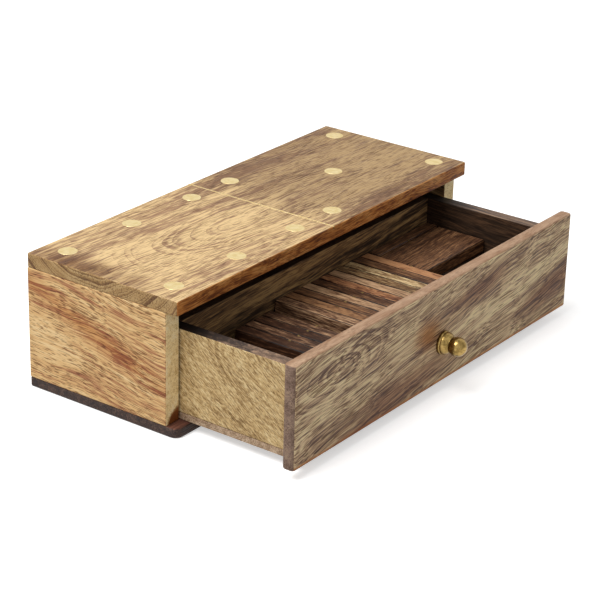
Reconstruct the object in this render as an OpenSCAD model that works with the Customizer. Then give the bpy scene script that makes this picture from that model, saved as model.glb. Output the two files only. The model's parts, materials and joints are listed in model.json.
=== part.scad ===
// Wooden storage box shaped like a large domino, with one long drawer that holds a double-six set.
// Lengths are in millimetres. The origin is the centre of the case's underside, +Z is up,
// +X runs along the box towards its right end, and the drawer opens towards -Y.

/* [Dominoes] */
// Length of one domino
tile_l = 46; // [36:0.5:60]
// Width of one domino, which is its height when it stands on its long edge
tile_w = 24; // [18:0.5:30]
// Thickness of one domino
tile_t = 5.8; // [4:0.1:9]
// Gap between two dominoes that stand side by side
tile_gap = 0.2; // [0.1:0.05:0.6]
// Gap between two dominoes that lie on each other
stack_gap = 0.1; // [0:0.05:0.4]
// Diameter of a domino's pip
tile_pip_d = 3; // [1.5:0.1:4]
// Distance between neighbouring pips of a domino
tile_pip_pitch = 6.4; // [4.5:0.1:7]
// Thickness of a domino's pip
tile_pip_t = 0.5; // [0.3:0.1:1]
// Width of the brass line across a domino
tile_line_w = 1.1; // [0.6:0.1:2]
// Thickness of the brass line across a domino
tile_line_t = 0.9; // [0.5:0.1:1.2]

/* [Packing in the drawer] */
// Gap between the dominoes and the drawer's end walls
edge_gap = 0.3; // [0.2:0.1:2]
// Free length between the left stack and the first standing domino
stack_space = 1.5; // [0.5:0.5:10]
// Free length between the two standing groups, wide enough for a fingertip's edge
finger_space = 8.7; // [6:0.1:20]
// Free length between the long standing group and the right stack
group_space = 0.4; // [0.2:0.1:5]
// Gap between the drawer's back wall and the dominoes that stand before it
back_space = 0.4; // [0.2:0.1:3]
// Gap between the long standing group and the strips of dominoes in front of it
strip_space = 0.3; // [0.2:0.1:5]
// How much further forward the short standing group is than the long one
short_group_shift = 5; // [0:0.5:6]
// Distance of the left stack from the drawer's back wall
left_stack_back = 6.2; // [0.4:0.2:7]

/* [Drawer] */
// Thickness of the drawer's side walls
drawer_side_t = 6; // [3:0.5:10]
// Thickness of the drawer's back wall
drawer_back_t = 6; // [3:0.5:10]
// Thickness of the drawer's bottom board
drawer_bottom_t = 3; // [2:0.5:6]
// Height that the drawer's walls keep free above a standing domino
head_room = 11; // [3:0.5:25]
// Thickness of the drawer's front board
front_t = 5.5; // [4:0.5:10]
// Height of the front board's top above the drawer's walls
front_rise = 5; // [0:0.5:12]
// How much shorter the front board is than the case, at each end
front_end_gap = 0.5; // [0:0.1:4]
// Distance that the drawer stands open
drawer_open = 54.5; // [0:0.5:56]

/* [Knob] */
// Diameter of the knob's foot
knob_foot_d = 10; // [7:0.5:16]
// Thickness of the knob's foot
knob_foot_t = 1.2; // [0.8:0.1:3]
// Diameter of the knob's neck
knob_neck_d = 6.2; // [4.6:0.2:7]
// Diameter of the knob's ball
knob_ball_d = 8.4; // [7:0.2:16]
// Distance of the ball's centre from the front board
knob_reach = 6.8; // [6:0.2:12]
// Height of the knob's axis above the drawer's underside
knob_height = 17.5; // [10:0.5:30]
// Diameter of the knob screw's shank
screw_d = 3; // [2:0.2:3.4]
// Diameter of the knob screw's head
screw_head_d = 6; // [5:0.2:9]
// Height of the knob screw's head
screw_head_t = 1.8; // [1:0.1:2.6]
// Depth that the screw reaches into the knob
screw_reach = 5; // [2:0.5:7]

/* [Case] */
// Thickness of the case's side panels
side_t = 8; // [4:0.5:14]
// Thickness of the case's back panel
back_t = 5; // [3:0.5:10]
// Thickness of the lid board
lid_t = 6; // [4:0.5:12]
// Thickness of the base board
base_t = 4; // [3:0.5:10]
// How far lid and base stand out in front of the side panels
front_recess = 5.5; // [0:0.5:12]
// Radius of the upright corners of the lid and of the base's back
corner_r = 1; // [0.5:0.5:6]
// Radius of the base's upright front corners
base_front_r = 3.5; // [0.5:0.5:6]
// Free height between the front board and the lid
front_top_gap = 4.3; // [0.5:0.1:8]

/* [Clearances] */
// Running gap between each drawer wall and the side panel
side_gap = 0.5; // [0.2:0.1:2]
// Running gap between the drawer and the base board
run_gap = 0.2; // [0.1:0.05:0.8]
// Gap between the shut front board and the side panels
close_gap = 0.3; // [0.1:0.1:1]
// Gap between the shut drawer and the back panel
rear_gap = 0.2; // [0.1:0.1:3]
// Gap round each inlaid piece in its pocket
inlay_gap = 0.05; // [0.02:0.01:0.2]
// Gap between the screw and its bores
screw_gap = 0.1; // [0.05:0.05:0.4]

/* [Lid inlay] */
// Diameter of the lid's pips
pip_d = 8; // [4:0.5:12]
// Thickness of the lid's pips
pip_t = 1.5; // [0.8:0.1:3]
// Distance of the outer pips from the end of their half
pip_end = 11.6; // [7:0.2:18]
// Distance of the outer pips from the lid's long edges
pip_edge = 11.1; // [7:0.1:18]
// How much nearer the right half's pips sit to the right end
right_pip_shift = 2.6; // [0:0.1:4]
// Width of the brass line across the lid
line_w = 0.8; // [0.4:0.1:2]
// Depth of the brass line across the lid
line_t = 1.5; // [0.8:0.1:3]

/* [Hidden] */
$fn = 64;
// Dominoes in the right and the left stack and in the two standing groups
right_stack_n = 4;
left_stack_n = 3;
short_group_n = 4;
long_group_n = 11;
pitch = tile_t + tile_gap;
stack_pitch = tile_t + stack_gap;

// The drawer's hollow is as large as its dominoes need, and the case is as large as the drawer needs
bay_l = 2 * edge_gap + tile_w + stack_space + short_group_n * pitch + finger_space
    + long_group_n * pitch - tile_gap + group_space + tile_l;
bay_d = edge_gap + 2 * pitch + strip_space + tile_l + back_space;
bay_h = tile_w + head_room;
drawer_l = bay_l + 2 * drawer_side_t;
body_d = bay_d + drawer_back_t;
front_h = drawer_bottom_t + bay_h + front_rise;

case_l = drawer_l + 2 * side_gap + 2 * side_t;
case_d = front_recess + close_gap + body_d + rear_gap + back_t;
side_h = run_gap + front_h + front_top_gap;
lid_z = base_t + side_h;

// Planes that several pieces share
case_front = -case_d / 2;
panel_front = case_front + front_recess;
drawer_z = base_t + run_gap;
floor_z = drawer_z + drawer_bottom_t;
front_y = panel_front - close_gap - drawer_open;
bay_back = front_y + bay_d;
bay_left = -bay_l / 2;
bay_right = bay_l / 2;
knob_z = drawer_z + knob_height;

// Lid pattern: six pips on the left half, five on the right
half_l = case_l / 2;
pip_pitch = (half_l - 2 * pip_end) / 2;
pip_row = case_d / 2 - pip_edge;
left_x = -half_l + pip_end;
right_x = pip_end + right_pip_shift;
LID_PIPS = concat(
    [for (i = [0:2]) for (s = [-1, 1]) [left_x + i * pip_pitch, s * pip_row]],
    [for (i = [0, 2]) for (s = [-1, 1]) [right_x + i * pip_pitch, s * pip_row]],
    [[right_x + pip_pitch, 0]]);

// The set: every pair of values from blank to six
TILES = [for (a = [0:6]) for (b = [a:6]) [a, b]];
function tile_name(k) = str("domino_", TILES[k][0], "_", TILES[k][1]);

// Where the parts of the set start in the list
short_k = 0;
long_k = short_k + short_group_n;
right_k = long_k + long_group_n;
left_k = right_k + right_stack_n;
strip_k = left_k + left_stack_n;

// Left faces of the two standing groups
short_x = bay_left + edge_gap + tile_w + stack_space;
long_x = short_x + short_group_n * pitch + finger_space;
stand_z = floor_z + tile_w / 2;

// A board centred in X and Y on z = 0, whose upright corners have one radius in front and one at the back
module rounded_board(l, d, t, front_r, back_r) {
    translate([-l / 2, -d / 2 + front_r, 0]) cube([l, d - front_r - back_r, t]);
    translate([-l / 2 + front_r, -d / 2, 0]) cube([l - 2 * front_r, d / 2, t]);
    translate([-l / 2 + back_r, 0, 0]) cube([l - 2 * back_r, d / 2, t]);
    for (side = [-1, 1]) {
        translate([side * (l / 2 - front_r), -d / 2 + front_r, 0]) cylinder(r = front_r, h = t);
        translate([side * (l / 2 - back_r), d / 2 - back_r, 0]) cylinder(r = back_r, h = t);
    }
}

// A plain board between two corners
module board(low, high) {
    translate(low) cube(high - low);
}

// The lid's pips, grown by a gap to cut their pockets
module lid_pip_discs(gap, rise) {
    for (p = LID_PIPS) {
        translate([p[0], p[1], lid_z + lid_t - pip_t]) cylinder(d = pip_d + 2 * gap, h = pip_t + rise);
    }
}

// The lid's line, grown by a gap to cut its groove
module lid_line_strip(gap, rise) {
    w = line_w + 2 * gap;
    board([-w / 2, case_front - rise, lid_z + lid_t - line_t], [w / 2, -case_front + rise, lid_z + lid_t + rise]);
}

module lid_board() {
    color("burlywood") difference() {
        translate([0, 0, lid_z]) rounded_board(case_l, case_d, lid_t, corner_r, corner_r);
        lid_pip_discs(inlay_gap, 1);
        lid_line_strip(inlay_gap, 1);
    }
}

module lid_pips() {
    color("khaki") lid_pip_discs(0, 0);
}

module lid_line() {
    color("khaki") lid_line_strip(0, 0);
}

module base_board() {
    color("saddlebrown") rounded_board(case_l, case_d, base_t, base_front_r, corner_r);
}

// A side panel, at the left end for side -1 and at the right end for side 1
module side_panel(side) {
    x0 = side < 0 ? -half_l : half_l - side_t;
    color("tan") board([x0, panel_front, base_t], [x0 + side_t, -case_front, lid_z]);
}

module left_panel() {
    side_panel(-1);
}

module right_panel() {
    side_panel(1);
}

module back_panel() {
    color("tan") board([-half_l + side_t, -case_front - back_t, base_t], [half_l - side_t, -case_front, lid_z]);
}

module drawer_bottom() {
    color("rosybrown") board([-drawer_l / 2, front_y, drawer_z], [drawer_l / 2, front_y + body_d, floor_z]);
}

// A drawer wall on its bottom board, at the left for side -1 and at the right for side 1
module drawer_wall(side) {
    x0 = side < 0 ? bay_left - drawer_side_t : bay_right;
    color("wheat") board([x0, front_y, floor_z], [x0 + drawer_side_t, front_y + body_d, floor_z + bay_h]);
}

module drawer_left() {
    drawer_wall(-1);
}

module drawer_right() {
    drawer_wall(1);
}

module drawer_back() {
    color("peru") board([bay_left, bay_back, floor_z], [bay_right, bay_back + drawer_back_t, floor_z + bay_h]);
}

// Turns a shape about the Z axis into one about the knob's axis, where +Z points out of the front board
module on_knob_axis() {
    translate([0, front_y - front_t, knob_z]) rotate([90, 0, 0]) children();
}

module drawer_front() {
    bore_d = screw_d + 2 * screw_gap;
    head_bore_d = screw_head_d + 4 * screw_gap;
    head_bore_t = screw_head_t + screw_gap;
    color("sienna") difference() {
        board([-half_l + front_end_gap, front_y - front_t, drawer_z],
              [half_l - front_end_gap, front_y, drawer_z + front_h]);
        on_knob_axis() translate([0, 0, -front_t - 1]) cylinder(d = bore_d, h = front_t + 2);
        on_knob_axis() translate([0, 0, -front_t - 1]) cylinder(d = head_bore_d, h = head_bore_t + 1);
    }
}

module knob() {
    flare_t = 2;
    color("goldenrod") on_knob_axis() difference() {
        union() {
            cylinder(d = knob_foot_d, h = knob_foot_t);
            translate([0, 0, knob_foot_t])
                cylinder(d1 = (knob_foot_d + knob_neck_d) / 2, d2 = knob_neck_d, h = flare_t);
            cylinder(d = knob_neck_d, h = knob_reach);
            translate([0, 0, knob_reach]) sphere(d = knob_ball_d);
        }
        translate([0, 0, -1]) cylinder(d = screw_d + 2 * screw_gap, h = screw_reach + screw_gap + 1);
    }
}

module knob_screw() {
    slot_w = 1;
    slot_depth = screw_head_t / 2;
    color("silver") on_knob_axis() difference() {
        union() {
            translate([0, 0, -front_t + screw_gap]) cylinder(d = screw_head_d, h = screw_head_t);
            translate([0, 0, -front_t + screw_gap]) cylinder(d = screw_d, h = front_t + screw_reach - screw_gap);
        }
        translate([-screw_head_d, -slot_w / 2, -front_t + screw_gap - 1])
            cube([2 * screw_head_d, slot_w, slot_depth + 1]);
    }
}

// Places of the pips on one half of a domino, for a value from 0 to 6
function half_pips(n) = concat(
    n % 2 == 1 ? [[0, 0]] : [],
    n >= 2 ? [[-1, -1], [1, 1]] : [],
    n >= 4 ? [[-1, 1], [1, -1]] : [],
    n == 6 ? [[-1, 0], [1, 0]] : []);

// The pips of domino k in its own frame, grown by a gap to cut their pockets
module tile_pip_discs(k, gap, rise) {
    for (side = [0, 1]) for (p = half_pips(TILES[k][side])) {
        x = (side * 2 - 1) * tile_l / 4;
        translate([x + p[0] * tile_pip_pitch, p[1] * tile_pip_pitch, tile_t - tile_pip_t])
            cylinder(d = tile_pip_d + 2 * gap, h = tile_pip_t + rise, $fn = 32);
    }
}

// The line of a domino in its own frame, grown by a gap to cut its groove
module tile_line_strip(gap, rise) {
    w = tile_line_w + 2 * gap;
    board([-w / 2, -tile_w / 2 - rise, tile_t - tile_line_t], [w / 2, tile_w / 2 + rise, tile_t + rise]);
}

// A domino in its own frame: it lies on z = 0 along X with its pips up
module tile_body(k) {
    difference() {
        board([-tile_l / 2, -tile_w / 2, 0], [tile_l / 2, tile_w / 2, tile_t]);
        tile_pip_discs(k, inlay_gap, 1);
        tile_line_strip(inlay_gap, 1);
    }
}

// Stands a domino on its long edge along Y, its pips facing right
module standing(x, back) {
    translate([x, back - tile_l / 2, stand_z]) rotate([90, 0, 90]) children();
}

// Lays a domino face down as number i of a stack, along X or turned by 90 degrees
module lying(x, y, i, turn) {
    translate([x, y, floor_z + i * stack_pitch + tile_t]) rotate([180, 0, turn]) children();
}

// Stands a domino on its long edge along X behind the plane at y, its pips facing forward
module strip(x, y) {
    translate([x, y + tile_t, stand_z]) rotate([90, 0, 0]) children();
}

// Puts domino k of the set in its place in the drawer: those of the strips stand behind the front board,
// except the last, which stands behind the right stack
module place_tile(k) {
    strip_x = long_x + tile_l / 2;
    strip_y = front_y + edge_gap;
    flat_x = bay_right - edge_gap - tile_l / 2;
    rear_y = bay_back - back_space - tile_t;
    if (k < long_k) {
        standing(short_x + (k - short_k) * pitch, bay_back - back_space - short_group_shift) children();
    } else if (k < right_k) {
        standing(long_x + (k - long_k) * pitch, bay_back - back_space) children();
    } else if (k < left_k) {
        lying(flat_x, rear_y - tile_gap - tile_w / 2, k - right_k, 0) children();
    } else if (k < strip_k) {
        lying(bay_left + edge_gap + tile_w / 2, bay_back - left_stack_back - tile_l / 2, k - left_k, 90)
            children();
    } else if (k < strip_k + 2) {
        strip(strip_x, strip_y + (k - strip_k) * pitch) children();
    } else if (k < strip_k + 4) {
        strip(strip_x + tile_l + tile_gap, strip_y + (k - strip_k - 2) * pitch) children();
    } else if (k < strip_k + 5) {
        strip(bay_left + edge_gap + tile_l / 2, strip_y) children();
    } else {
        strip(flat_x, rear_y) children();
    }
}

module domino(k) {
    color("saddlebrown") place_tile(k) tile_body(k);
}

module domino_pips() {
    color("gold") for (k = [0:len(TILES) - 1]) place_tile(k) tile_pip_discs(k, 0, 0);
}

module domino_lines() {
    color("gold") for (k = [0:len(TILES) - 1]) place_tile(k) tile_line_strip(0, 0);
}

lid_board();
lid_pips();
lid_line();
left_panel();
right_panel();
back_panel();
base_board();
drawer_front();
drawer_left();
drawer_right();
drawer_back();
drawer_bottom();
knob();
knob_screw();
domino_pips();
domino_lines();
for (k = [0:len(TILES) - 1]) domino(k);
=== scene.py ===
"""Domino storage box: an oiled hardwood case with brass inlay and one drawer full of wooden dominoes."""
import json
import math
from typing import NamedTuple

import bmesh
import bpy
import numpy as np
from bpy.props import FloatProperty, FloatVectorProperty, IntProperty, PointerProperty
from mathutils import Matrix, Vector


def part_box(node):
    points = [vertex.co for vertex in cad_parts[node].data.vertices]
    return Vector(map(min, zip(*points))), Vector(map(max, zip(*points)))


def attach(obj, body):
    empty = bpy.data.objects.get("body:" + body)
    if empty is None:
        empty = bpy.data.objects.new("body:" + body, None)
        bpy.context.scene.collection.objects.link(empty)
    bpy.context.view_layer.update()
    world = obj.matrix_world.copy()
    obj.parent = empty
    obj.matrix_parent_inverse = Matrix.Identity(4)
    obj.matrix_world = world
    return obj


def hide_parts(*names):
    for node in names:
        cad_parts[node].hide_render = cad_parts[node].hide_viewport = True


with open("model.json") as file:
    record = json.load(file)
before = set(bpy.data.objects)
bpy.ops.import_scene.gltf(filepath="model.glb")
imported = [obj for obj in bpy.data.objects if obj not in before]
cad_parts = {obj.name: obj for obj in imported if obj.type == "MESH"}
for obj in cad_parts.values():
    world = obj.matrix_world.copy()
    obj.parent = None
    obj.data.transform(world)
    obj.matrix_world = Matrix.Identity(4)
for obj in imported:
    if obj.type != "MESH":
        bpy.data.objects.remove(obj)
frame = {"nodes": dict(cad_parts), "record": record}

bl_info = {
    "name": "Domino Storage Box",
    "version": (1, 0, 0),
    "blender": (4, 5, 0),
    "location": "3D View > Sidebar > Domino Box",
    "description": "Dresses a domino storage box in wood and brass",
    "category": "Object",
}

MM = 0.001

# The photograph's camera: its place in metres, its angles in degrees, its lens and its sensor in millimetres
CAMERA_PLACE = (-0.6613, -0.5002, 0.3770)
CAMERA_YAW = 54.127
CAMERA_PITCH = -23.609
CAMERA_ROLL = 1.485
CAMERA_LENS = 128.15
CAMERA_SENSOR = 36.0

# The studio: one soft square lamp and what it is aimed at, in metres and watts
LAMP_PLACE = (-0.58, 0.16, 1.0)
LAMP_AIM = (0.0, -0.02, 0.03)
LAMP_SIDE = 0.7
LAMP_POWER = 11.5

# The white surroundings, and the weaker light and the darker floor that the object gets its light from
WHITE = (1.0, 1.0, 1.0)
WORLD_FILL = 0.45
FLOOR_GLOW = 0.5
FLOOR_RETURN = (0.5, 0.5, 0.5)
FLOOR_RADIUS = 6.0
FLOOR_DROP = 0.2 * MM

# Marks that all the woods share: their length and width in millimetres, along and across the grain
DRIFT = (55, 30)
BLOTCH = (8.0, 4.5)
PORE_CROWD = (26.0, 9.0)

# A hair's length and width, as shares of those of the fibres it lies in
HAIR = (0.4, 0.45)

# The ends of the scale from dark to pale grain, and the levels of the noise between which a pore sets in
GRAIN_ENDS = (0.08, 0.92)
PORE_LEVELS = (0.7, 0.84)

# How much the pores crowd together, and how deep they drop beside the height of the hairs
PORE_CROWDING = 0.35
PORE_DROP = 1.2

# How far the years stray from one width, how late in a year its wood darkens, and its first and last tone
YEAR_DRIFT = 2.5
YEAR_BEND = 3.0
YEAR_START = 0.8
YEAR_END = -0.4

# The levels between which the fibres turn from dark to pale, and the brass from bright to worn and to dull
FIBRE_LEVELS = (0.3, 0.7)
TARNISH_LEVELS = (0.62, 0.95)
DULL_LEVELS = (0.5, 1.0)

# How much the scratches count in the worn places of the brass
SCRATCH_SHARE = 0.5

# The relief of the wood's fibres and of the scratches in the brass, with its height in metres
WOOD_RELIEF = {"Strength": 0.25, "Distance": 0.25 * MM}
BRASS_RELIEF = {"Strength": 0.15, "Distance": 0.1 * MM}

# How straight a face's normal is on a flat side of a piece, and how slanted on an eased edge
FLAT = 0.9995
SLANTED = 0.9

# Points closer than this, in metres, are one point
SAME_POINT = 2e-6

# Where in the wood each board is cut, in millimetres, so that no two boards show the same figure
CUTS = {"left_panel": (0, 0, 40), "right_panel": (310, 0, 40), "back_panel": (700, 120, 60),
        "base_board": (1500, 300, 10), "drawer_left": (2100, 50, 5), "drawer_right": (2400, 50, 5),
        "drawer_back": (2900, 80, 15), "drawer_bottom": (3300, 90, 15), "drawer_front": (4100, 200, 40)}
TILE_CUT = (137.0, 61.0, 29.0)

# How much paler or darker than its kind each domino is, in the order of the names, and how its grain leans
TILE_TONES = (-0.42, -0.26, -0.46, -0.32, -0.02, 0.4, -0.02, 0.24, -0.16, 0.08, 0.32, -0.24, 0.16, -0.1,
              0.4, -0.06, 0.16, -0.24, 0.0, 0.24, -0.3, 0.08, -0.18, 0.32, -0.06, 0.16, -0.24, 0.0)
TILE_LEANS = (-3, 2, 5, -1, 3, -5, 1)

# The ways that lie along and across the grain on the faces of a box, and the names of its six sides
FACES = {"top": ((1, 0, 0), (0, 1, 0)), "front": ((1, 0, 0), (0, 0, 1)), "side": ((0, -1, 0), (0, 0, 1))}
SIDES = {(2, 1): "top", (2, -1): "under", (1, -1): "front", (1, 1): "back", (0, -1): "left", (0, 1): "right"}

# The woods' tones: key, label, where it is, and its dark, middle and pale grain
GRAIN_TONES = (
    ("lid", "Lid", "the lid's upper face", "A07C5C", "DFBF8C", "E2C28E"),
    ("lid_edge", "Lid edge", "the lid's long edges", "6A3816", "B87438", "D89A58"),
    ("lid_end", "Lid end", "the lid's end grain", "6E4E30", "A68456", "C2A576"),
    ("panel", "Side panel", "the side panels", "A06848", "DCB37A", "EACA96"),
    ("panel_end", "Panel end", "the side panels' front ends", "D6B880", "FCE4AC", "FFEEC6"),
    ("base", "Base", "the base board", "2C2224", "40322C", "5E4A42"),
    ("base_lip", "Base lip", "the base board's upper face", "3A2218", "54342A", "7A5040"),
    ("wall", "Drawer wall", "the drawer walls' outer faces", "84673E", "C8A874", "E2CC9C"),
    ("wall_top", "Wall top", "the drawer walls' upper edges", "3C302A", "77604F", "AC8E74"),
    ("bottom", "Bottom edge", "the edges of the drawer's bottom board", "8C7258", "B09478", "CDB59A"),
    ("inside", "Inside", "the inside of the drawer and the case", "2E2014", "785C3E", "B49262"),
    # Shaded: painted shade, a near-black copy of the inside wood for the right wall's inner face and the back
    # wall's upper edge
    ("shaded", "Right wall", "the right wall's inner face", "1E140E", "38281C", "543C2A"),
    ("front", "Front", "the drawer's front board", "644838", "CEAD88", "F0DAAC"),
    ("front_top", "Front top", "the front board's upper edge", "8E684A", "AC8A6E", "C4A486"),
    ("front_end", "Front end", "the front board's ends", "604A3C", "80685A", "9A826C"),
    ("tile_brown", "Brown domino", "the brown dominoes", "3E281C", "866248", "CAA47E"),
    ("tile_dark", "Dark domino", "the dark dominoes", "341F14", "66452F", "9E7450"),
    ("tile_red", "Red domino", "the reddish dominoes", "3C2014", "86563A", "C08C62"),
    ("tile_gold", "Golden domino", "the golden dominoes", "4C321E", "A48058", "E8CC9A"),
)
SHADES = (("dark", "Dark grain of"), ("middle", "Main tone of"), ("pale", "Pale grain of"))

# The tints of patches in the woods, and the other colours: key, label, description and colour
OTHER_TONES = (
    ("lid_shade", "Lid, right half", "Tint of the lid's darker right half", "CFC9C6"),
    ("lid_corner_shade", "Lid, dark corner", "Tint of the dark streaks at the lid's left end", "A89484"),
    ("panel_band", "Side panel, band", "Tint of the reddish bands across the side panels", "E6CDB8"),
    ("foot_stain", "Panel foot stain", "Tint of the stained foot of the panels' front ends", "8A5A34"),
    # Painted shade on the walls' upper edges near the case, under the lid's edge
    ("wall_top_shade", "Wall top, shade", "Tint of the walls' upper edges near the case", "6A605A"),
    ("front_shade", "Front, dark bands", "Tint of the dark bands of the front board", "C8B2AC"),
    ("foot_wear", "Front, worn foot", "Tint of the rubbed lower edge of the front board", "D8AC90"),
    ("knob_stain", "Stain by the knob", "Tint of the reddish stain beside the knob", "D0A888"),
    ("pore", "Pores", "Tint of the pores, the short dark dashes along the grain", "7A5C44"),
    # Painted shade: darkens the dominoes' eased edges as if they lay in the shade of the gaps between them
    ("rim_painted_shade", "Dirt on edges", "Tint of the oil and dirt on the dominoes' eased edges", "342A22"),
    ("inlay_brass", "Inlay brass", "Colour of the lid's brass pips", "EAD59E"),
    ("inlay_worn", "Inlay brass, worn", "Colour of the brass inlay where it is scratched", "D3B772"),
    ("line_brass", "Lid line", "Colour of the thin brass line across the lid", "E4CC98"),
    ("aged_brass", "Aged brass", "Colour of the unpolished brass of the dominoes", "A48856"),
    ("aged_dark", "Aged brass, dark", "Colour of the darkened places in that brass", "5C4428"),
    ("knob_brass", "Knob brass", "Colour of the polished knob", "A88C54"),
    ("knob_tarnish", "Knob tarnish", "Colour of the knob's darkened places", "64502A"),
    ("screw_steel", "Screw steel", "Colour of the knob's screw", "B9B6AE"),
    ("floor_white", "Floor", "Colour of the floor that carries the box", "F4F4F4"),
)


def srgb(code):
    """A colour written as sRGB hex, as linear red, green and blue."""
    parts = [int(code[i:i + 2], 16) / 255 for i in (0, 2, 4)]
    return tuple(c / 12.92 if c <= 0.04045 else ((c + 0.055) / 1.055) ** 2.4 for c in parts)


def tone(name, description, code):
    """A colour that a user may change, with its default as sRGB hex."""
    return FloatVectorProperty(name=name, description=description, default=srgb(code), size=3,
                               min=0.0, max=1.0, subtype="COLOR")


def length(name, description, millimetres):
    """A length that a user may change, with its default in millimetres."""
    return FloatProperty(name=name, description=description, default=millimetres * MM, min=0.0,
                         precision=5, subtype="DISTANCE", unit="LENGTH")


def count(name, description, default, least, most):
    """A number of straight sides that a user may change."""
    return IntProperty(name=name, description=description, default=default, min=least, max=most)


class DominoBoxSizes(bpy.types.PropertyGroup):
    """Sizes that only the looks have: eased edges, inlay and the sides of what is round."""

    board_rim: length("Board edge easing", "Radius of the sanded edges of the boards", 0.5)
    front_rim: length("Front edge easing", "Radius of the sanded edges of the drawer's front board", 0.8)
    front_corner: length("Front corner", "Radius of the front board's upright corners", 1.6)
    lid_corner: length("Lid corner", "Radius of the upright corners of the lid and of the base's back", 1.0)
    base_corner: length("Base corner", "Radius of the base board's upright front corners", 3.5)
    tile_rim: length("Domino edge easing", "Radius of the sanded edges of a domino", 0.7)
    inlay_rise: length("Inlay rise", "How far the brass stands above the wood round it", 0.04)
    inlay_rim: length("Inlay edge easing", "Width of the softened rim of the brass pips", 0.12)
    line_rim: length("Line edge easing", "Width of the softened rims of the brass lines", 0.05)
    knob_ball: length("Knob ball", "Radius of the knob's ball", 4.0)
    lid_pip_sides: count("Lid pip sides", "Straight sides that make a lid pip round", 48, 8, 96)
    tile_pip_sides: count("Domino pip sides", "Straight sides that make a domino's pip round", 14, 6, 32)
    knob_turns: count("Knob sides", "Straight sides that make the knob round", 72, 16, 128)


class DominoBoxTones(bpy.types.PropertyGroup):
    """Colours of the woods, of the patches in them and of the metals."""

    __annotations__ = {
        **{f"{key}_{shade}": tone(f"{label}, {shade}", f"{words} {where}", code)
           for key, label, where, *codes in GRAIN_TONES for (shade, words), code in zip(SHADES, codes)},
        **{key: tone(label, description, code) for key, label, description, code in OTHER_TONES},
    }


class Patch(NamedTuple):
    """Other wood that lies in a face of a board, as streaks, stains and worn places do."""

    face: str
    # Its middle in the box, and its half length and half width along and across the grain, in millimetres
    at: tuple
    reach: tuple
    # How far it goes into the wood, and how its length leans, in degrees
    deep: float = 99
    lean: float = 0.0
    # The tone that tints it, and how much paler its grain is, or darker where that is below 0
    tint: str = ""
    shift: float = 0.0
    # How far its edge is frayed along the grain, and how softly it ends
    ragged: float = 1.0
    soft: float = 0.5


class Rings(NamedTuple):
    """Growth rings round a heart that leans against a face and so draws arches on it."""

    face: str
    # Where the heart meets the face, in millimetres, its lean on the face in degrees, and its slope inwards
    at: tuple
    lean: float
    slope: float
    # The width of a ring in millimetres, and how much the rings show
    spacing: float
    strength: float
    # Where they show, or on the whole board without it
    seen: Patch = None


def add_node(tree, kind, inputs=None, **settings):
    """Adds a node to a tree, makes its settings, and gives each input a value or a link from a socket."""
    node = tree.nodes.new(kind)
    for key, value in settings.items():
        setattr(node, key, value)
    for key, value in (inputs or {}).items():
        if isinstance(value, bpy.types.NodeSocket):
            tree.links.new(value, node.inputs[key])
        else:
            node.inputs[key].default_value = value
    return node


def maths(tree, operation, *values):
    """What a sum on numbers gives. Each of the values is a number or a socket."""
    return add_node(tree, "ShaderNodeMath", dict(enumerate(values)), operation=operation).outputs[0]


def vector_maths(tree, operation, *values):
    """What a sum on vectors gives: a vector, or a number where only a number comes out."""
    node = add_node(tree, "ShaderNodeVectorMath", dict(enumerate(values)), operation=operation)
    return node.outputs["Value" if operation in ("DOT_PRODUCT", "LENGTH") else "Vector"]


def between(tree, value, levels, results, ease="SMOOTHSTEP"):
    """Turns a value's way from one level to another into a way between two results, and stops at both."""
    inputs = dict(zip(("Value", "From Min", "From Max", "To Min", "To Max"), (value, *levels, *results)))
    return add_node(tree, "ShaderNodeMapRange", inputs, interpolation_type=ease).outputs[0]


def new_material(name):
    """An empty material and its node tree."""
    material = bpy.data.materials.new(name)
    material.use_nodes = True
    tree = material.node_tree
    tree.nodes.clear()
    return material, tree


def opaque(colour):
    """A colour with the fourth number that a node socket wants."""
    return (*colour, 1.0)


def place_in_box(tree):
    """The place of a point in the box, in millimetres."""
    place = add_node(tree, "ShaderNodeTexCoord").outputs["Object"]
    return add_node(tree, "ShaderNodeVectorMath", {0: place, "Scale": 1 / MM}, operation="SCALE").outputs[0]


def fibres(tree, where, long, wide, detail=2.0, wander=0.0, output="Fac"):
    """Noise drawn out along the grain. Its marks are about so long and so wide, in millimetres."""
    drawn = vector_maths(tree, "MULTIPLY", where, (1 / long, 1 / wide, 1 / wide))
    return add_node(tree, "ShaderNodeTexNoise", {"Vector": drawn, "Scale": 1.0, "Detail": detail,
                                                 "Distortion": wander}).outputs[output]


def turned_ways(along, across, lean):
    """The ways along, across and through the grain, where it leans in its face by an angle in degrees."""
    along, across = Vector(along), Vector(across)
    through = along.cross(across)
    turn = Matrix.Rotation(math.radians(lean), 3, through)
    return turn @ along, turn @ across, through


def far_from(tree, place, middle, ways):
    """How far a place lies from a middle, counted along the given ways only."""
    off = vector_maths(tree, "SUBTRACT", place, middle)
    spans = {}
    for k, way in enumerate(ways):
        spans[k] = vector_maths(tree, "DOT_PRODUCT", off, way)
    whole = add_node(tree, "ShaderNodeCombineXYZ", spans).outputs[0]
    return vector_maths(tree, "LENGTH", whole)


def patch_mask(tree, place, patch, rough):
    """Where a patch of other wood lies: 1 in it and 0 outside, with an edge that frays along the grain."""
    ways = turned_ways(*FACES[patch.face], patch.lean)
    far = far_from(tree, place, patch.at, [way / span for way, span in zip(ways, (*patch.reach, patch.deep))])
    frayed = maths(tree, "MULTIPLY_ADD", rough, patch.ragged, far)
    edge = 0.5 * patch.ragged + 1
    return between(tree, frayed, (edge - patch.soft, edge + patch.soft), (1.0, 0.0))


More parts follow.
